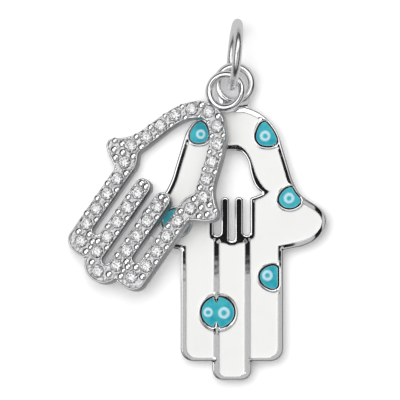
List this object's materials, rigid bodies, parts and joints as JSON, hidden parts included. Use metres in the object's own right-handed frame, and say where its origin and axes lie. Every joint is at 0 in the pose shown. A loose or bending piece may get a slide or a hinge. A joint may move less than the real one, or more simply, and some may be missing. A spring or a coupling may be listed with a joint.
{
  "type": "hamsa pendant",
  "caption": "Pendant of a large flat hamsa hand in white and turquoise enamel with a pierced window, and a small openwork hamsa hand set with round clear stones, both on a jump ring.",
  "frame": {"origin": "on the flat back of the large hand, on its middle line, where its fingers meet its palm", "axes": "+Y from the fingers to the loop, +Z out of the large hand's front, +X to the right as the front is seen; the pendant lies on its back"},
  "size_m": [0.0194, 0.027, 0.0054],
  "materials": {
    "silver": "polished rhodium-plated silver",
    "white_enamel": "gloss enamel",
    "turquoise_enamel": "gloss enamel",
    "pale_enamel": "gloss enamel",
    "zirconia": "faceted, clear"
  },
  "bodies": {
    "root": {"enamel_hand": "silver", "palm_enamel": "white_enamel", "middle_finger_enamel": "white_enamel", "eye_enamel_1": "turquoise_enamel", "eye_enamel_2": "turquoise_enamel", "eye_enamel_3": "turquoise_enamel", "eye_enamel_4": "turquoise_enamel", "eye_enamel_5": "turquoise_enamel", "eye_enamel_6": "turquoise_enamel", "eye_ring_1": "pale_enamel", "eye_ring_2": "pale_enamel", "eye_ring_3": "pale_enamel", "eye_ring_4": "pale_enamel", "eye_ring_5": "pale_enamel", "eye_ring_6": "pale_enamel", "eye_ring_7": "pale_enamel", "pave_hand": "silver", "stone_1": "zirconia", "stone_2": "zirconia", "stone_3": "zirconia", "stone_4": "zirconia", "stone_5": "zirconia", "stone_6": "zirconia", "stone_7": "zirconia", "stone_8": "zirconia", "stone_9": "zirconia", "stone_10": "zirconia", "stone_11": "zirconia", "stone_12": "zirconia", "stone_13": "zirconia", "stone_14": "zirconia", "stone_15": "zirconia", "stone_16": "zirconia", "stone_17": "zirconia", "stone_18": "zirconia", "stone_19": "zirconia", "stone_20": "zirconia", "stone_21": "zirconia", "stone_22": "zirconia", "stone_23": "zirconia", "stone_24": "zirconia", "stone_25": "zirconia", "stone_26": "zirconia", "stone_27": "zirconia", "stone_28": "zirconia", "stone_29": "zirconia", "stone_30": "zirconia", "stone_31": "zirconia", "stone_32": "zirconia", "stone_33": "zirconia", "stone_34": "zirconia", "jump_ring": "silver"}
  },
  "joints": []
}
